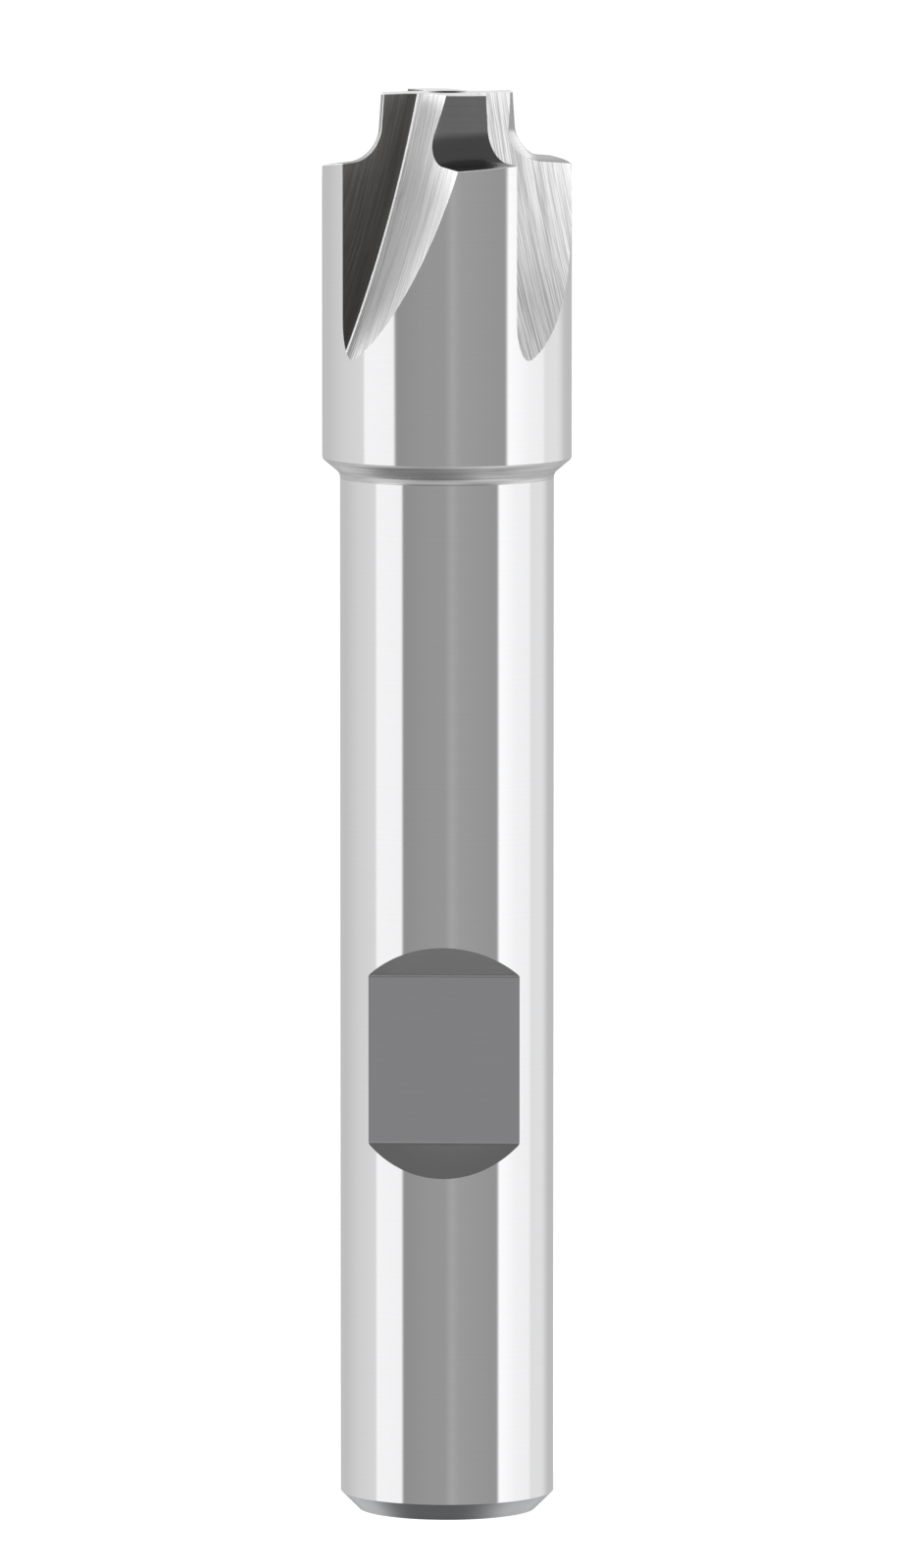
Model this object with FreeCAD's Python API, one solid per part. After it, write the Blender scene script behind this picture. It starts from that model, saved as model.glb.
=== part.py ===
import FreeCAD, Part
import math
import os
from FreeCAD import Vector

# Corner rounding end mill, ground from one bar of high speed steel.
# It stands on the end of its shank: the origin is the centre of that end face,
# +Z runs up the axis to the nose and the clamping flat faces -Y.
# All lengths are millimetres and all angles are degrees.

# Shank
overall_length = 63.5
shank_diameter = 9.525
shank_end_chamfer = 0.8
flatted_length = 27.0

# Head and the collar under it
head_diameter = 11.11
head_length = 16.3
collar_angle = 40.0
collar_fillet = 0.45

# Rounding form: a concave quarter round that runs out straight to the nose and to the lip
nose_diameter = 6.62
form_depth = 3.0
form_radius = 1.5875
form_flare_angle = 5.0

# Flutes, each made by one plunge of a disc wheel beside the cutting face
flute_count = 4
first_flute_angle = 38.65
rake_offset = 0.25
web_at_nose = 1.35
flute_length = 11.95
wheel_radius = 58.5
wheel_rim_angle = 7.5
wheel_corner_radius = 0.75

# Relief behind each cutting edge
relief_offset = 1.4
axial_relief_angle = 3.5
relief_lead = 2.0
relief_sweep = 50.0

# Clamping flat across the shank
flat_depth = 1.39
flat_length = 7.55
flat_centre_height = 20.6
flat_end_angle = 45.0
flat_root_radius = 0.2

# Centre holes that the bar was ground between
nose_centre_diameter = 1.75
shank_centre_diameter = 2.4
centre_angle = 60.0
centre_pilot_share = 0.45
centre_pilot_length = 1.0

# Room that a cutting shape keeps beyond the metal it removes
overrun = 1.0

shank_radius = shank_diameter / 2
head_radius = head_diameter / 2
nose_radius = nose_diameter / 2
head_bottom = overall_length - head_length
axis_up = Vector(0, 0, 1)


def corner_arc(before, corner, after, radius):
    """Start, middle and end of the arc that rounds one corner of an outline."""
    to_before = (before - corner).normalize()
    to_after = (after - corner).normalize()
    half_angle = to_before.getAngle(to_after) / 2
    reach = radius / math.tan(half_angle)
    bisector = (to_before + to_after).normalize()
    centre = corner + bisector * (radius / math.sin(half_angle))
    return corner + to_before * reach, centre - bisector * radius, corner + to_after * reach


def rounded_face(corners):
    """Flat face inside an outline, given as corner points with a radius each, 0 for sharp."""
    points = [point for point, radius in corners]
    stops = []
    edges = []
    for index, (point, radius) in enumerate(corners):
        if radius > 0:
            following = points[(index + 1) % len(points)]
            start, middle, end = corner_arc(points[index - 1], point, following, radius)
            edges.append(Part.Arc(start, middle, end).toShape())
            stops.append((start, end))
        else:
            stops.append((point, point))
    for index, (start, end) in enumerate(stops):
        previous_end = stops[index - 1][1]
        edges.append(Part.makeLine(previous_end, start))
    return Part.Face(Part.Wire(Part.__sortEdges__(edges)))


def blank():
    """Shank, collar and head, ground to one outline about the axis.

    The shank's side is drawn in two lengths: the one that carries the flat and the plain one.
    """
    collar_drop = (head_radius - shank_radius) * math.tan(math.radians(collar_angle))
    outline = [
        (Vector(0, 0, 0), 0),
        (Vector(shank_radius - shank_end_chamfer, 0, 0), 0),
        (Vector(shank_radius, 0, shank_end_chamfer), 0),
        (Vector(shank_radius, 0, flatted_length), 0),
        (Vector(shank_radius, 0, head_bottom - collar_drop), collar_fillet),
        (Vector(head_radius, 0, head_bottom), 0),
        (Vector(head_radius, 0, overall_length), 0),
        (Vector(0, 0, overall_length), 0),
    ]
    return rounded_face(outline).revolve(Vector(0, 0, 0), axis_up, 360)


def wheel_centre():
    """Centre of the wheel whose rim meets the web at the nose and the head at the flute's end."""
    at_nose = Vector(web_at_nose, 0, overall_length)
    at_head = Vector(head_radius, 0, overall_length - flute_length)
    chord = at_head - at_nose
    outward = chord.cross(Vector(0, 1, 0)).normalize()
    if outward.x < 0:
        outward = -outward
    rise = math.sqrt(wheel_radius ** 2 - (chord.Length / 2) ** 2)
    return at_nose + chord * 0.5 + outward * rise


def flute_cut():
    """Disc wheel of one flute: its side leaves the cutting face and its rim the wall across it.

    The rim tapers away from that side, so the corner between the face and the wall is open.
    """
    centre = wheel_centre()
    side = -rake_offset
    far_side = head_diameter + overrun
    taper = (far_side - side) * math.tan(math.radians(wheel_rim_angle))
    outline = [
        (Vector(centre.x, side, centre.z), 0),
        (Vector(centre.x + wheel_radius, side, centre.z), wheel_corner_radius),
        (Vector(centre.x + wheel_radius - taper, far_side, centre.z), 0),
        (Vector(centre.x, far_side, centre.z), 0),
    ]
    return rounded_face(outline).revolve(centre, Vector(0, 1, 0), 360)


def form_corner():
    """Point in the cutting face where the straight ends of the form would meet."""
    flare = math.tan(math.radians(form_flare_angle))
    nose = math.sqrt(nose_radius ** 2 - rake_offset ** 2)
    lip = math.sqrt(head_radius ** 2 - rake_offset ** 2)
    drop = (form_depth - flare * (lip - nose)) / (1 - flare ** 2)
    return Vector(nose + flare * drop, -rake_offset, overall_length - drop)


def relief_cut():
    """Metal outside the rounding form behind one cutting edge.

    The form is drawn in the cutting face and swept backwards about an axis that stands ahead
    of that face and leans, so that the surface falls away from the edge inwards and downwards.
    The sweep starts a little ahead of the face, in the open flute.
    """
    flare = math.tan(math.radians(form_flare_angle))
    corner = form_corner()
    top = overall_length + overrun
    outside = head_radius + 2 * overrun
    outline = [
        (Vector(corner.x - flare * (top - corner.z), corner.y, top), 0),
        (corner, form_radius),
        (Vector(outside, corner.y, corner.z - flare * (outside - corner.x)), 0),
        (Vector(outside, corner.y, top), 0),
    ]
    lean = math.radians(axial_relief_angle)
    sweep_axis = Vector(0, -math.sin(lean), math.cos(lean))
    sweep_centre = Vector(0, corner.y + relief_offset, overall_length - form_depth / 2)
    form = rounded_face(outline)
    form.rotate(sweep_centre, sweep_axis, relief_lead)
    return form.revolve(sweep_centre, sweep_axis, -relief_lead - relief_sweep)


def around_head(shape):
    """Copies of a tooth's cutting shape, one for each flute."""
    copies = []
    for index in range(flute_count):
        copy = shape.copy()
        turn = first_flute_angle - 90 + index * 360 / flute_count
        copy.rotate(Vector(0, 0, 0), axis_up, turn)
        copies.append(copy)
    return copies


def flat_cut():
    """Clamping flat with a sloping run-out at each end, milled straight across the shank."""
    flat_plane = -(shank_radius - flat_depth)
    depth = flat_depth + overrun
    slope = depth / math.tan(math.radians(flat_end_angle))
    low = flat_centre_height - flat_length / 2
    high = flat_centre_height + flat_length / 2
    side = -(shank_radius + overrun)
    outline = [
        (Vector(side, flat_plane, low), flat_root_radius),
        (Vector(side, flat_plane, high), flat_root_radius),
        (Vector(side, flat_plane - depth, high + slope), 0),
        (Vector(side, flat_plane - depth, low - slope), 0),
    ]
    return rounded_face(outline).extrude(Vector(-2 * side, 0, 0))


def centre_hole(diameter):
    """Centre hole that opens upwards at height 0, with its pilot drilling below."""
    rim = diameter / 2
    pilot = rim * centre_pilot_share
    wall_slope = math.tan(math.radians(centre_angle / 2))
    cone_depth = (rim - pilot) / wall_slope
    outline = [
        (Vector(0, 0, -cone_depth - centre_pilot_length), 0),
        (Vector(pilot, 0, -cone_depth - centre_pilot_length), 0),
        (Vector(pilot, 0, -cone_depth), 0),
        (Vector(rim + overrun * wall_slope, 0, overrun), 0),
        (Vector(0, 0, overrun), 0),
    ]
    return rounded_face(outline).revolve(Vector(0, 0, 0), axis_up, 360)


def nose_centre():
    """Centre hole in the nose face."""
    hole = centre_hole(nose_centre_diameter)
    hole.translate(Vector(0, 0, overall_length))
    return hole


def shank_centre():
    """Centre hole in the end of the shank."""
    hole = centre_hole(shank_centre_diameter)
    hole.rotate(Vector(0, 0, 0), Vector(1, 0, 0), 180)
    return hole


def cutter_body():
    """The whole cutter: the blank with its flutes, relief, flat and centres cut."""
    body = blank()
    for tool in around_head(relief_cut()) + around_head(flute_cut()):
        body = body.cut(tool)
    for tool in (flat_cut(), nose_centre(), shank_centre()):
        body = body.cut(tool)
    return body


os.makedirs("parts", exist_ok=True)
body = cutter_body()
solid = body.Solids[0]
solid.exportStep("parts/cutter_body.step")
print("solids", len(body.Solids), "valid", solid.isValid(), "volume", round(solid.Volume, 2))
print("faces", len(solid.Faces), "box", solid.BoundBox)
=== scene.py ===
import math
import bpy
from mathutils import Matrix, Vector


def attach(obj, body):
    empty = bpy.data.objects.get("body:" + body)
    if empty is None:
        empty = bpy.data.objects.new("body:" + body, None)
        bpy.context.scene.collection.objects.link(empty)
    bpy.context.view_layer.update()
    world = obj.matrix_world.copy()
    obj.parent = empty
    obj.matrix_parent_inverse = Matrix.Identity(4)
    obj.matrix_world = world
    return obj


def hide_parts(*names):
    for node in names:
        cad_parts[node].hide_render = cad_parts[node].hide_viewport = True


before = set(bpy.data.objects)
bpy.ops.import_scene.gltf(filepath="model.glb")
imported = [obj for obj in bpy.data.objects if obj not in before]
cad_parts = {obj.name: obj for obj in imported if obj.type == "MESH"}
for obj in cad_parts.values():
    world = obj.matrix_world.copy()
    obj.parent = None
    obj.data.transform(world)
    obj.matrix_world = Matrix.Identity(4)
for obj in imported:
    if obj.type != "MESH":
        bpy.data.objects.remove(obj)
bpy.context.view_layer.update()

# The camera stands where the photographer's stood: about two thirds of a metre off, a little
# to the right of the clamping flat's own direction, and looking down on the cutter by 6 degrees.
mm = 0.001
view_azimuth = math.radians(2.2)
view_pitch = math.radians(5.96)
view_distance = 659.2 * mm
aim_beside_axis = 0.27 * mm
aim_height = 32.59 * mm
picture_height = 1600
focal_pixels = 15069
film_height = 36.0

view_turn = Matrix.Rotation(view_azimuth, 3, "Z")
look = view_turn @ Vector((0, math.cos(view_pitch), -math.sin(view_pitch)))
aim = view_turn @ Vector((aim_beside_axis, 0, aim_height))
bpy.ops.object.camera_add(
    location=aim - look * view_distance,
    rotation=(math.pi / 2 - view_pitch, 0, view_azimuth),
)
camera = bpy.context.object
camera.name = "photo_camera"
camera.data.sensor_width = film_height
camera.data.lens = focal_pixels / picture_height * film_height
camera.data.clip_start = 0.01
camera.data.clip_end = 20
bpy.context.scene.camera = camera


# The blank is one bar of high speed steel, turned to its outline and then ground between
# centres: a chamfered end, the shank, a filleted collar and the wider head.
# It is raised here ring by ring from the end that it stands on.
shank_radius = 4.7625 * mm
shank_end_chamfer = 0.8 * mm
head_radius = 5.555 * mm
head_bottom = 47.2 * mm
cutter_length = 63.5 * mm
collar_angle = math.radians(40)
collar_fillet = 0.45 * mm
fillet_steps = 8
edge_break = 0.05 * mm
sides_of_round = 512


def collar_outline():
    """Radius and height of the rings from the shank up the fillet to the head's lower edge."""
    drop = (head_radius - shank_radius) * math.tan(collar_angle)
    half_turn = (math.pi / 2 - collar_angle) / 2
    fillet_start = head_bottom - drop - collar_fillet * math.tan(half_turn)
    rings = []
    for step in range(fillet_steps + 1):
        turn = 2 * half_turn * step / fillet_steps
        out = shank_radius + collar_fillet * (1 - math.cos(turn))
        rings.append((out, fillet_start + collar_fillet * math.sin(turn)))
    lip = edge_break * math.tan(collar_angle)
    rings.append((head_radius - edge_break, head_bottom - lip))
    rings.append((head_radius, head_bottom + edge_break))
    return rings


blank_outline = [
    (shank_radius - shank_end_chamfer, 0),
    (shank_radius, shank_end_chamfer),
    *collar_outline(),
    (head_radius, cutter_length),
]

bpy.ops.object.select_all(action="DESELECT")
start_radius = blank_outline[0][0]
bpy.ops.mesh.primitive_circle_add(vertices=sides_of_round, radius=start_radius, fill_type="NGON")
cutter = bpy.context.object
cutter.name = "rounding_cutter"
bpy.ops.object.mode_set(mode="EDIT")
bpy.ops.mesh.select_all(action="SELECT")
for (below_radius, below), (radius, height) in zip(blank_outline, blank_outline[1:]):
    bpy.ops.mesh.extrude_region_move(TRANSFORM_OT_translate={"value": (0, 0, height - below)})
    growth = radius / below_radius
    if growth != 1:
        bpy.ops.transform.resize(value=(growth, growth, 1), center_override=(0, 0, height))
bpy.ops.mesh.select_all(action="SELECT")
bpy.ops.mesh.normals_make_consistent(inside=False)
bpy.ops.object.mode_set(mode="OBJECT")


# Finishes of the steel. All of it is the same bare metal, ground bright on the shank and left
# duller where it was only turned. The way that it was cut gives the marks their direction and
# depth. Each finish is a tint of that metal with its own roughness and its own marks.
marks_detail = 3
tone_band = (0.38, 0.62)
gloss_band = (0.3, 0.7)
gloss_swing = (1.25, 0.8)
least_lean = 0.05


def wire(owner, node, inputs):
    """Fill a node's inputs, each with a fixed value or with the output of another node."""
    for socket, value in inputs.items():
        if isinstance(value, bpy.types.NodeSocket):
            owner.node_tree.links.new(value, node.inputs[socket])
        else:
            node.inputs[socket].default_value = value


def add_node(owner, kind, inputs, **settings):
    """Add a node to a material or to the world, and give its outputs."""
    node = owner.node_tree.nodes.new(kind)
    for key, value in settings.items():
        setattr(node, key, value)
    wire(owner, node, inputs)
    return node.outputs


def ramp(owner, place, stops):
    """Colour that runs through the stops, pairs of a place from 0 to 1 and a colour."""
    colours = add_node(owner, "ShaderNodeValToRGB", {"Fac": place})["Color"]
    elements = colours.node.color_ramp.elements
    elements.remove(elements[1])
    elements[0].position = stops[0][0]
    for position, colour in stops[1:]:
        elements.new(position)
    for element, (position, colour) in zip(elements, stops):
        element.color = (*colour, 1)
    return colours


def map_range(owner, value, from_range, to_range=(0, 1), interpolation_type="LINEAR"):
    """Value carried from one range to another, and held at the ends of the second."""
    ends = zip(("From Min", "From Max", "To Min", "To Max"), (*from_range, *to_range))
    return add_node(
        owner, "ShaderNodeMapRange", {"Value": value, **dict(ends)},
        interpolation_type=interpolation_type,
    )["Result"]


def grey(level):
    """Neutral colour of one level."""
    return (level, level, level)


def finish(material, inputs):
    """Fill the inputs of a material's shader."""
    wire(material, material.node_tree.nodes["Principled BSDF"], inputs)


def bare_steel(name, colour, roughness, metallic=1):
    """Plain bare steel. Under 1, metallic gives matt steel that scatters some of the light."""
    steel = bpy.data.materials.new(name)
    steel.use_nodes = True
    finish(steel, {"Base Color": (*colour, 1), "Metallic": metallic, "Roughness": roughness})
    return steel


def add_marks(steel, place, colour, roughness, contrast, depth, fineness=0.5):
    """Let marks at a place drive the steel's colour, roughness and bump, and give the colour.

    contrast is how much the colour swings, depth how deep the marks are, and fineness how much
    of the finest marks shows. The dark marks are rougher and the light ones smoother.
    """
    noise = {"Vector": place, "Scale": 1, "Detail": marks_detail, "Roughness": fineness}
    marks = add_node(steel, "ShaderNodeTexNoise", noise)["Fac"]
    dark = [channel * (1 - contrast) for channel in colour]
    light = [min(1, channel * (1 + contrast)) for channel in colour]
    tone = ramp(steel, marks, list(zip(tone_band, (dark, light))))
    gloss = map_range(steel, marks, gloss_band, [roughness * swing for swing in gloss_swing])
    relief = {"Height": marks, "Strength": 1, "Distance": depth}
    bumps = add_node(steel, "ShaderNodeBump", relief)["Normal"]
    finish(steel, {"Base Color": tone, "Roughness": gloss, "Normal": bumps})
    return tone


def marked_steel(name, colour, roughness, marks_per_mm, contrast, depth):
    """Steel whose marks run long one way and fine the other, by how many cross a millimetre."""
    steel = bare_steel(name, colour, roughness)
    place = add_node(steel, "ShaderNodeTexCoord", {})["Object"]
    scale = [count / mm for count in marks_per_mm]
    stretched = add_node(steel, "ShaderNodeMapping", {"Vector": place, "Scale": scale})["Vector"]
    add_marks(steel, stretched, colour, roughness, contrast, depth)
    return steel


shank_steel = marked_steel(
    "ground_round", (0.80, 0.80, 0.81), 0.07,
    marks_per_mm=(0.02, 0.02, 9), contrast=0.006, depth=0.00001 * mm,
)
end_steel = marked_steel(
    "turned_end", (0.545, 0.56, 0.57), 0.15,
    marks_per_mm=(0.05, 0.05, 9), contrast=0.05, depth=0.0005 * mm,
)
collar_steel = marked_steel(
    "turned_collar", grey(0.62), 0.25,
    marks_per_mm=(0.3, 0.3, 9), contrast=0.12, depth=0.001 * mm,
)
for steel in (shank_steel, end_steel, collar_steel):
    cutter.data.materials.append(steel)
for face in cutter.data.polygons:
    leans = abs(face.normal.z) > least_lean
    if leans and face.center.z < head_bottom / 2:
        face.material_index = 1
    elif leans and face.center.z < (head_bottom + cutter_length) / 2:
        face.material_index = 2


# The flutes are each ground by one straight plunge of a disc wheel. Its side leaves the
# cutting face and its rim the wall across it, and both keep marks that circle the wheel.
# The wheel's corner leaves a radius at the root between them, and that radius is painted pale,
# a painted highlight. The cutting faces are painted dark, painted shade, and the walls are
# painted darker near the root and towards the lower end and lighter further out, painted
# shade and light.
flute_count = 4
first_flute_turn = math.radians(38.65 - 90)
rake_offset = 0.25 * mm
web_at_nose = 1.35 * mm
flute_length = 11.95 * mm
wheel_radius = 58.5 * mm
wheel_rim_angle = math.radians(7.5)
wheel_corner = 0.75 * mm
corner_steps = 16
wheel_sweep = math.radians(26)
wheel_steps = 120
weld = 0.001 * mm
# Slants of the wheel's corner faces, which get the painted highlight.
root_highlight_slants = (0.53, 0.62)
wheel_marks_per_mm = (17, 17, 0.25)
wheel_marks_fineness = 0.7
# Painted shade and light by height on the flute steel: darker at the lower end, lighter towards
# the nose.
painted_light_height_zone = (-25, -14)
painted_light_height_levels = (0.82, 1.12)


def wheel_axis():
    """Where the wheel's axis crosses the cutting face's plane."""
    at_nose = Vector((web_at_nose, 0, cutter_length))
    at_head = Vector((head_radius, 0, cutter_length - flute_length))
    chord = at_head - at_nose
    outward = Vector((-chord.z, 0, chord.x)).normalized()
    rise = math.sqrt(wheel_radius ** 2 - (chord.length / 2) ** 2)
    return (at_nose + at_head) / 2 + outward * rise


def scalar_math(owner, operation, *values):
    """Result of one operation on numbers."""
    return add_node(owner, "ShaderNodeMath", dict(enumerate(values)), operation=operation)["Value"]


def vector_math(owner, operation, *values):
    """Results of one operation on vectors."""
    return add_node(owner, "ShaderNodeVectorMath", dict(enumerate(values)), operation=operation)


def wheel_marked_steel(name, turn, tint, painted_light_across, roughness, contrast, depth):
    """Steel with marks that circle the wheel which cut one flute.

    The stops across give how bright the steel is painted at places across the wheel, in
    millimetres from the cutter's axis: painted shade near the root and painted light further
    out. The steel is also painted darker towards the lower end and lighter towards the nose,
    painted shade and light by height.
    """
    steel = bare_steel(name, tint, roughness)
    axis = wheel_axis() / mm
    place = add_node(steel, "ShaderNodeTexCoord", {})["Object"]
    to_flute = {"Vector": place, "Rotation": (0, 0, -turn), "Scale": (1 / mm, 1 / mm, 1 / mm)}
    in_flute = add_node(steel, "ShaderNodeMapping", to_flute)["Vector"]
    centred = vector_math(steel, "SUBTRACT", in_flute, (axis.x, 0, axis.z))["Vector"]
    parts = add_node(steel, "ShaderNodeSeparateXYZ", {"Vector": centred})

    spoke = add_node(steel, "ShaderNodeCombineXYZ", {"X": parts["X"], "Z": parts["Z"]})["Vector"]
    radius = vector_math(steel, "LENGTH", spoke)["Value"]
    angle = scalar_math(steel, "ARCTAN2", parts["Z"], parts["X"])
    along = scalar_math(steel, "MULTIPLY", angle, wheel_radius / mm)
    on_wheel = {"X": radius, "Y": parts["Y"], "Z": along}
    unrolled = add_node(steel, "ShaderNodeCombineXYZ", on_wheel)["Vector"]
    stretched = vector_math(steel, "MULTIPLY", unrolled, wheel_marks_per_mm)["Vector"]
    tone = add_marks(
        steel, stretched, tint, roughness, contrast, depth, fineness=wheel_marks_fineness
    )

    # Painted shade near the root and painted light further out, across the wheel.
    first, last = painted_light_across[0][0], painted_light_across[-1][0]
    stops = [((at - first) / (last - first), grey(level)) for at, level in painted_light_across]
    shade = ramp(steel, map_range(steel, parts["Y"], (first, last)), stops)
    # Painted shade towards the lower end and painted light towards the nose.
    painted_light_by_height = map_range(steel, parts["Z"], painted_light_height_zone, painted_light_height_levels)
    painted_light_and_shade = add_node(
        steel, "ShaderNodeVectorMath", {0: shade, "Scale": painted_light_by_height}, operation="SCALE"
    )["Vector"]
    marks_with_painted_light = add_node(
        steel, "ShaderNodeMix", {"Factor": 1, "A": painted_light_and_shade, "B": tone},
        data_type="RGBA", blend_type="MULTIPLY", clamp_result=True,
    )["Result"]
    finish(steel, {"Base Color": marks_with_painted_light})
    return steel


def only(thing):
    """Leave one object selected and active."""
    bpy.ops.object.select_all(action="DESELECT")
    thing.select_set(True)
    bpy.context.view_layer.objects.active = thing


def grind_away(tool):
    """Take a tool's shape out of the cutter; the cut faces keep the tool's finish."""
    only(cutter)
    cut = cutter.modifiers.new("cut", "BOOLEAN")
    cut.operation = "DIFFERENCE"
    cut.solver = "EXACT"
    cut.material_mode = "TRANSFER"
    cut.object = tool
    bpy.ops.object.modifier_apply(modifier=cut.name)
    bpy.data.objects.remove(tool)


def pick(thing, parts, test):
    """Open a piece for editing with only the vertices, edges or polygons that pass a test."""
    mesh = thing.data
    for group in (mesh.vertices, mesh.edges, mesh.polygons):
        group.foreach_set("select", [False] * len(group))
    for part in getattr(mesh, parts):
        part.select = test(part)
    kinds = ("vertices", "edges", "polygons")
    bpy.context.tool_settings.mesh_select_mode = [kind == parts for kind in kinds]
    bpy.ops.object.mode_set(mode="EDIT")


def disc_wheel(turn, steels):
    """The part of the wheel that meets the head, turned to its flute.

    steels are the steels for its side, its rim and its corner, which carry painted shade and
    light; the corner's is painted pale, a painted highlight.
    """
    axis = wheel_axis()
    depth = 2 * head_radius
    middle = axis.x - wheel_radius + depth / 2
    bpy.ops.object.select_all(action="DESELECT")
    bpy.ops.mesh.primitive_plane_add(size=1)
    wheel = bpy.context.object
    bpy.ops.object.mode_set(mode="EDIT")
    bpy.ops.mesh.select_all(action="SELECT")
    bpy.ops.transform.resize(value=(depth, depth, 1), center_override=(0, 0, 0))
    bpy.ops.transform.translate(value=(middle, depth / 2 - rake_offset, axis.z))
    bpy.ops.object.mode_set(mode="OBJECT")
    for corner in wheel.data.vertices:
        if corner.co.x < middle and corner.co.y > 0:
            corner.co.x += depth * math.tan(wheel_rim_angle)
    pick(wheel, "vertices", lambda corner: corner.co.x < middle and corner.co.y < 0)
    reach = wheel_corner / math.tan((math.pi / 2 - wheel_rim_angle) / 2)
    bpy.ops.mesh.bevel(offset=reach, segments=corner_steps, affect="VERTICES")
    bpy.ops.mesh.select_all(action="SELECT")
    bpy.ops.mesh.spin(steps=wheel_steps, angle=wheel_sweep, center=axis, axis=(0, 1, 0))
    bpy.ops.mesh.select_all(action="SELECT")
    bpy.ops.mesh.remove_doubles(threshold=weld)
    bpy.ops.mesh.normals_make_consistent(inside=False)
    bpy.ops.object.mode_set(mode="OBJECT")
    for steel in steels:
        wheel.data.materials.append(steel)
    # Faces between the side and the rim get the root's pale steel, a painted highlight.
    rim_ends, side_starts = root_highlight_slants
    for face in wheel.data.polygons:
        slant = abs(face.normal.y)
        if slant > side_starts:
            face.material_index = 0
        else:
            face.material_index = 2 if slant > rim_ends else 1
    wheel.data.transform(Matrix.Rotation(turn, 4, "Z"))
    return wheel


flute_turns = [
    first_flute_turn + step * 2 * math.pi / flute_count for step in range(flute_count)
]
for number, turn in enumerate(flute_turns, 1):
    # The cutting faces are painted dark, painted shade, and lighter towards the root; the walls
    # are painted darker near the root and lighter further out, painted shade and light.
    face_steel = wheel_marked_steel(
        f"flute_face_{number}", turn, (0.80, 0.77, 0.72),
        painted_light_across=[(-0.25, 0.155), (-0.2, 0.155), (0.0, 0.40)],
        roughness=0.35, contrast=0.22, depth=0.0015 * mm,
    )
    wall_steel = wheel_marked_steel(
        f"flute_wall_{number}", turn, grey(0.82),
        painted_light_across=[(-0.1, 0.55), (0.6, 0.92), (2.4, 0.94), (4.4, 1.15)],
        roughness=0.42, contrast=0.26, depth=0.0025 * mm,
    )
    finish(wall_steel, {"Metallic": 0.6})
    # The root radius is painted pale, a painted highlight.
    root_highlight_steel = bare_steel(f"flute_root_{number}", grey(0.96), 0.5, metallic=0.4)
    grind_away(disc_wheel(turn, (face_steel, wall_steel, root_highlight_steel)))


# The relief behind each edge gives the cutter its form: a concave quarter round that runs
# out straight to the nose and to the lip. A form wheel swings back from the cutting face
# about an axis that stands ahead of it and leans, so the metal falls away behind the edge.
nose_radius = 3.31 * mm
form_depth = 3.0 * mm
form_radius = 1.5875 * mm
form_flare = math.radians(5)
form_steps = 32
relief_offset = 1.4 * mm
relief_lean = math.radians(3.5)
relief_lead = math.radians(2)
relief_sweep = math.radians(52)
relief_steps = 80

relief_steel = marked_steel(
    "relieved_form", grey(0.36), 0.22,
    marks_per_mm=(0.05, 0.05, 8), contrast=0.03, depth=0.0002 * mm,
)


def form_wheel(turn):
    """Everything outside the form behind one cutting edge."""
    flare = math.tan(form_flare)
    nose = math.sqrt(nose_radius ** 2 - rake_offset ** 2)
    lip = math.sqrt(head_radius ** 2 - rake_offset ** 2)
    drop = (form_depth - flare * (lip - nose)) / (1 - flare ** 2)
    corner_out = nose + flare * drop
    outside = head_radius + 2 * mm
    above = 1 * mm
    bpy.ops.object.select_all(action="DESELECT")
    bpy.ops.mesh.primitive_plane_add(size=1, rotation=(math.pi / 2, 0, 0))
    wheel = bpy.context.object
    bpy.ops.object.transform_apply(location=False, rotation=True, scale=False)
    for corner in wheel.data.vertices:
        inner = corner.co.x < 0
        upper = corner.co.z > 0
        if upper:
            corner.co.x = corner_out - flare * (drop + above) if inner else outside
            corner.co.z = cutter_length + above
        else:
            fall = 0 if inner else flare * (outside - corner_out)
            corner.co.x = corner_out if inner else outside
            corner.co.z = cutter_length - drop - fall
        corner.co.y = -rake_offset
    pick(wheel, "vertices", lambda corner: corner.co.x < outside and corner.co.z < cutter_length)
    reach = form_radius / math.tan((math.pi / 2 + 2 * form_flare) / 2)
    bpy.ops.mesh.bevel(offset=reach, segments=form_steps, affect="VERTICES")
    bpy.ops.object.mode_set(mode="OBJECT")
    swing_centre = Vector((0, relief_offset - rake_offset, cutter_length - form_depth / 2))
    swing_axis = Vector((0, -math.sin(relief_lean), math.cos(relief_lean)))
    there = Matrix.Translation(swing_centre)
    lead = Matrix.Rotation(relief_lead, 4, swing_axis)
    wheel.data.transform(there @ lead @ there.inverted())
    bpy.ops.object.mode_set(mode="EDIT")
    bpy.ops.mesh.select_all(action="SELECT")
    bpy.ops.mesh.spin(
        steps=relief_steps, angle=relief_sweep, center=swing_centre, axis=swing_axis
    )
    bpy.ops.mesh.select_all(action="SELECT")
    bpy.ops.mesh.remove_doubles(threshold=weld)
    bpy.ops.mesh.normals_make_consistent(inside=False)
    bpy.ops.object.mode_set(mode="OBJECT")
    wheel.data.materials.append(relief_steel)
    wheel.data.transform(Matrix.Rotation(turn, 4, "Z"))
    return wheel


for turn in flute_turns:
    grind_away(form_wheel(turn))


# The clamping flat is milled across the shank, with a run-out at each end that slopes
# at 45 degrees, and it takes the holder's set screw. The milling tool's rounded tips leave
# a small radius at the roots. The run-outs are painted lighter than the flat, the lower one
# more than the upper, as painted light and shade, and the upper root is painted dark, a
# painted shade over its highlight.
flat_depth = 1.39 * mm
flat_length = 7.55 * mm
flat_centre = 20.6 * mm
flat_root_radius = 0.2 * mm
root_steps = 8
milling_depth = 3 * mm
flat_tolerance = 0.01 * mm
flat_plane = flat_depth - shank_radius
flat_slant = 0.999
run_out_slant = 0.72

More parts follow.
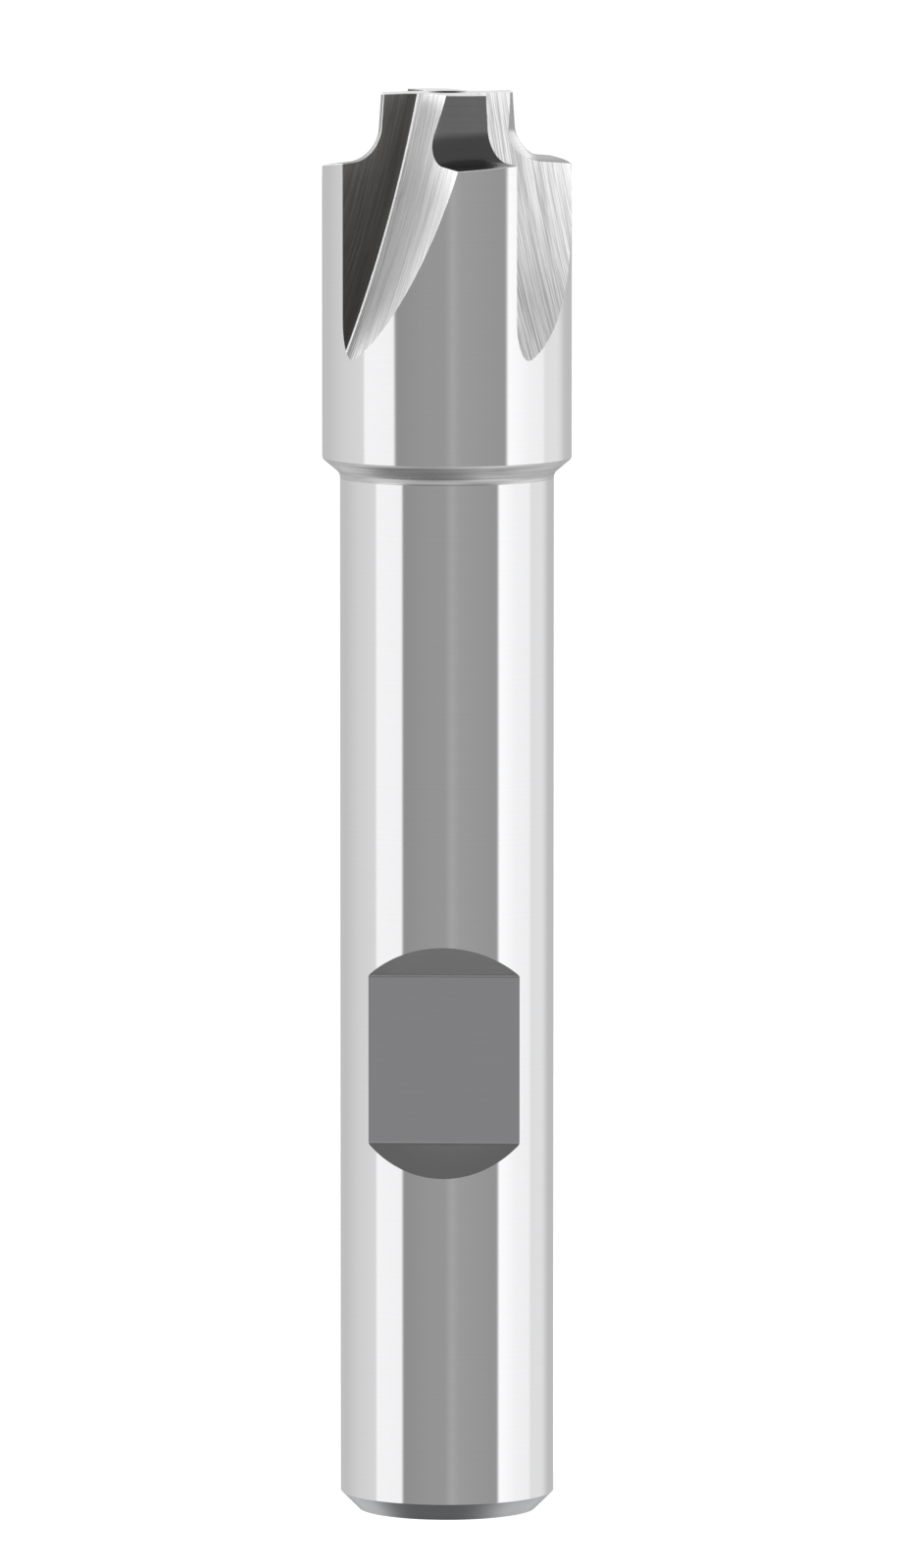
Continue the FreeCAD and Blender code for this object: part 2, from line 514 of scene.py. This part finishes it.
flat_steel = marked_steel(
    "milled_flat", (0.565, 0.565, 0.58), 0.20,
    marks_per_mm=(0.3, 6, 6), contrast=0.008, depth=0.00005 * mm,
)
# The run-outs are painted in two levels, the lower lighter than the upper, painted light and
# shade.
painted_run_out_steels = [
    marked_steel(
        name, grey(level), 0.20,
        marks_per_mm=(0.3, 6, 6), contrast=0.01, depth=0.00005 * mm,
    )
    for name, level in (("milled_run_out_lower", 0.76), ("milled_run_out_upper", 0.60))
]
# The upper root is painted dark, a painted shade over its highlight.
upper_root_painted_shade = bare_steel("milled_root_upper", grey(0.32), 0.25)

bpy.ops.object.select_all(action="DESELECT")
bpy.ops.mesh.primitive_cube_add(size=1)
milling = bpy.context.object
bpy.ops.object.mode_set(mode="EDIT")
bpy.ops.mesh.select_all(action="SELECT")
milling_size = (4 * shank_radius, milling_depth, flat_length)
bpy.ops.transform.resize(value=milling_size, center_override=(0, 0, 0))
bpy.ops.transform.translate(value=(0, flat_plane - milling_depth / 2, flat_centre))
bpy.ops.object.mode_set(mode="OBJECT")
for corner in milling.data.vertices:
    if corner.co.y < flat_plane - milling_depth / 2:
        corner.co.z += milling_depth if corner.co.z > flat_centre else -milling_depth


def at_flat_root(edge):
    """Whether an edge runs across the shank where the flat meets a run-out."""
    ends = [milling.data.vertices[index].co for index in edge.vertices]
    painted_light_across = abs(ends[0].x - ends[1].x) > shank_radius
    return painted_light_across and all(abs(end.y - flat_plane) < flat_tolerance for end in ends)


pick(milling, "edges", at_flat_root)
root_reach = flat_root_radius * math.tan(math.pi / 8)
bpy.ops.mesh.bevel(offset=root_reach, segments=root_steps, affect="EDGES")
bpy.ops.mesh.select_all(action="SELECT")
bpy.ops.mesh.normals_make_consistent(inside=False)
bpy.ops.object.mode_set(mode="OBJECT")
for steel in (flat_steel, *painted_run_out_steels, upper_root_painted_shade):
    milling.data.materials.append(steel)
for face in milling.data.polygons:
    slant = abs(face.normal.y)
    if slant > flat_slant:
        face.material_index = 0
    elif face.center.z < flat_centre:
        face.material_index = 1
    else:
        face.material_index = 3 if slant > run_out_slant else 2
grind_away(milling)


# The centre holes in the two ends carried the blank while it was ground: a 60 degree
# seat for the centre's point, and a short pilot drilling behind it.
nose_centre_rim = 0.875 * mm
shank_centre_rim = 1.2 * mm
pilot_share = 0.45
pilot_length = 1 * mm
seat_half_angle = math.radians(30)
hole_sides = 96

# The holes are painted dark grey, painted shade in the recess.
hole_painted_shade = bare_steel("centre_hole", grey(0.30), 0.35)


def centre_drill(rim, height, way):
    """Shape of a centre drill whose hole opens at a height, upwards for way 1 or down for -1."""
    pilot = rim * pilot_share
    slope = math.tan(seat_half_angle)
    cone_depth = (rim - pilot) / slope
    above = 1 * mm
    lengths = (pilot_length, cone_depth + above)
    bpy.ops.object.select_all(action="DESELECT")
    bpy.ops.mesh.primitive_circle_add(vertices=hole_sides, radius=pilot, fill_type="NGON")
    drill = bpy.context.object
    bpy.ops.object.mode_set(mode="EDIT")
    bpy.ops.mesh.select_all(action="SELECT")
    bpy.ops.transform.translate(value=(0, 0, height - way * (cone_depth + pilot_length)))
    for length in lengths:
        bpy.ops.mesh.extrude_region_move(TRANSFORM_OT_translate={"value": (0, 0, way * length)})
    growth = (rim + above * slope) / pilot
    bpy.ops.transform.resize(value=(growth, growth, 1), center_override=(0, 0, height))
    bpy.ops.mesh.select_all(action="SELECT")
    bpy.ops.mesh.normals_make_consistent(inside=False)
    bpy.ops.object.mode_set(mode="OBJECT")
    drill.data.materials.append(hole_painted_shade)
    return drill


grind_away(centre_drill(nose_centre_rim, cutter_length, 1))
grind_away(centre_drill(shank_centre_rim, 0, -1))


# An oilstone takes the burr off the teeth. It leaves a narrow rim along the cutting edge, the
# lip and the outline of the nose, while the walls of the flutes stay as they were ground. The
# rim's bevel catches light, and its steel is painted pale, a painted highlight.
rim_width = 0.03 * mm
sliver = 0.002 * mm
rim_weld = 0.0005 * mm
sharp_angle = math.radians(40)
smooth_angle = math.radians(12)

only(cutter)
bpy.context.tool_settings.mesh_select_mode = (False, True, False)
bpy.ops.object.mode_set(mode="EDIT")
bpy.ops.mesh.select_all(action="SELECT")
bpy.ops.mesh.remove_doubles(threshold=sliver)
bpy.ops.mesh.select_all(action="DESELECT")
bpy.ops.mesh.edges_select_sharp(sharpness=sharp_angle)
bpy.ops.object.mode_set(mode="OBJECT")
sharp_edges = {edge.index for edge in cutter.data.edges if edge.select}

finishes_beside = {edge.key: "" for edge in cutter.data.edges}
for face in cutter.data.polygons:
    for key in face.edge_keys:
        finishes_beside[key] += cutter.data.materials[face.material_index].name


def on_tooth(edge):
    """Whether an edge bounds the relief or the nose, away from the walls and the centre hole."""
    finishes = finishes_beside[edge.key]
    if edge.index not in sharp_edges or "wall" in finishes or "hole" in finishes:
        return False
    lowest = min(cutter.data.vertices[index].co.z for index in edge.vertices)
    return "relieved" in finishes or lowest > cutter_length - rim_width


# The rim's steel is painted pale, a painted highlight.
cutter.data.materials.append(bare_steel("stoned_edge_highlight", grey(0.92), 0.4, metallic=0.5))
pick(cutter, "edges", on_tooth)
bpy.ops.mesh.bevel(
    offset=rim_width, segments=1, affect="EDGES", clamp_overlap=False,
    material=len(cutter.data.materials) - 1,
)
bpy.ops.mesh.select_all(action="SELECT")
bpy.ops.mesh.remove_doubles(threshold=rim_weld)
bpy.ops.object.mode_set(mode="OBJECT")
bpy.ops.object.shade_smooth_by_angle(angle=smooth_angle)
even = cutter.modifiers.new("even", "WEIGHTED_NORMAL")
even.keep_sharp = True
bpy.ops.object.modifier_apply(modifier=even.name)

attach(cutter, "root")
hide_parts("cutter_body")


# The cutter stands on a wide sheet of pale paper. The camera alone sees the paper lifted to
# white, and the steel mirrors the studio's screens in its place.
floor_half = 4.0
floor_lift = 0.62

bpy.ops.object.select_all(action="DESELECT")
bpy.ops.mesh.primitive_plane_add(size=2 * floor_half)
floor = bpy.context.object
floor.name = "studio_floor"
floor.visible_glossy = False
paper = bpy.data.materials.new("pale_floor")
paper.use_nodes = True
seen = add_node(paper, "ShaderNodeLightPath", {})["Is Camera Ray"]
lift = scalar_math(paper, "MULTIPLY", seen, floor_lift)
finish(paper, {"Base Color": (*grey(0.9), 1), "Roughness": 0.9, "Specular IOR Level": 0})
finish(paper, {"Emission Color": (*grey(1), 1), "Emission Strength": lift})
floor.data.materials.append(paper)


# One soft lamp stands a metre off at the left, 14 degrees up from the cutter's head. It
# lights what is ground matt, and the polished faces don't mirror it.
lamp_azimuth = view_azimuth - math.radians(45)
lamp_height = math.radians(14)
lamp_distance = 1.0
lamp_aim = Vector((0, 0, 50 * mm))

lamp_turn = Matrix.Rotation(lamp_azimuth, 3, "Z")
toward_lamp = lamp_turn @ Vector((0, -math.cos(lamp_height), math.sin(lamp_height)))
bpy.ops.object.light_add(
    type="AREA", location=toward_lamp * lamp_distance + lamp_aim,
    rotation=(math.pi / 2 - lamp_height, 0, lamp_azimuth),
)
lamp = bpy.context.object
lamp.data.size = 0.5
lamp.data.energy = 10
lamp.visible_glossy = False


# Grey and white screens stand all round, and the bare steel mirrors them. At the cutter's own
# height they are mid grey in front, with a white strip at each side, and light grey behind.
# Rings below and above are for the faces that lean. The camera sees plain white instead.
studio = bpy.data.worlds.new("studio")
bpy.context.scene.world = studio
studio.use_nodes = True
studio.node_tree.nodes.clear()

direction = add_node(studio, "ShaderNodeTexCoord", {})["Generated"]
heading = add_node(studio, "ShaderNodeSeparateXYZ", {"Vector": direction})
forward = scalar_math(studio, "MULTIPLY", heading["Y"], -1)
azimuth = scalar_math(studio, "ARCTAN2", heading["X"], forward)
from_camera = scalar_math(studio, "SUBTRACT", azimuth, view_azimuth)
way_round = map_range(studio, from_camera, (-math.pi, math.pi))


def screens(*stops):
    """Ring of screens: pairs of degrees to the right of the camera and a grey level."""
    return ramp(studio, way_round, [((angle + 180) / 360, grey(level)) for angle, level in stops])


def between(low, high):
    """Share that grows from 0 to 1 from one height to another, in degrees over the horizon."""
    heights = [math.sin(math.radians(angle)) for angle in (low, high)]
    return map_range(studio, heading["Z"], heights, interpolation_type="SMOOTHSTEP")


def cover(under, over, share):
    """Light of what is under, covered by what is over for a share from 0 to 1."""
    inputs = {"Factor": share, "A": under, "B": over}
    return add_node(studio, "ShaderNodeMix", inputs, data_type="RGBA")["Result"]


light = screens(
    (-180, 0.50), (-153, 0.61), (-142, 0.62), (-110, 0.77), (-83.7, 0.83), (-81.7, 1.12),
    (-50.5, 1.10), (-47.7, 0.335), (-20, 0.37), (-2, 0.375), (5, 0.46), (13, 0.405),
    (55.8, 0.36), (58.8, 1.22), (80, 1.10), (100.5, 1.06), (103.5, 0.90), (122, 0.91),
    (130, 0.83), (136, 0.70), (142, 0.62), (179, 0.50),
)
near_floor = screens(
    (-180, 0.70), (-120, 0.72), (-90, 0.95), (-40, 0.60), (30, 0.68), (90, 0.95), (120, 0.72),
    (179, 0.70),
)
over_horizon = screens(
    (-180, 0.82), (-168, 0.85), (-160, 1.1), (-60, 1.1), (-47, 0.34), (0, 0.37), (47, 0.37),
    (60, 1.2), (100, 1.3), (125, 1.7), (165, 1.7), (172, 0.85), (179, 0.82),
)
high_up = screens(
    (-180, 0.15), (-172, 0.15), (-165, 1.5), (-85, 1.5), (-70, 0.14), (45, 0.14), (58, 2.7),
    (90, 2.7), (110, 1.8), (168, 1.8), (174, 0.15),
)
light = cover(light, near_floor, between(-20, -30))
light = cover(light, over_horizon, between(-1, 3))
light = cover(light, high_up, between(2, 36))

# The ceiling over them is dark, and so is the floor straight under the cutter, in its own
# shadow. That shadow falls a little behind the cutter and to its left.
ceiling_level = 0.15
shadow_level = 0.18
shadow_towards = (-0.10, 0.19, -0.976)
shadow_edge_cosines = (0.80, 0.99)

light = cover(light, (*grey(ceiling_level), 1), between(22, 48))
nearness = vector_math(studio, "DOT_PRODUCT", direction, shadow_towards)["Value"]
in_shadow = map_range(studio, nearness, shadow_edge_cosines, interpolation_type="SMOOTHSTEP")
light = cover(light, (*grey(shadow_level), 1), in_shadow)
seen = add_node(studio, "ShaderNodeLightPath", {})["Is Camera Ray"]
light = cover(light, (*grey(1), 1), seen)
glow = add_node(studio, "ShaderNodeBackground", {"Color": light})["Background"]
add_node(studio, "ShaderNodeOutputWorld", {"Surface": glow})

bpy.context.scene.view_settings.view_transform = "Standard"
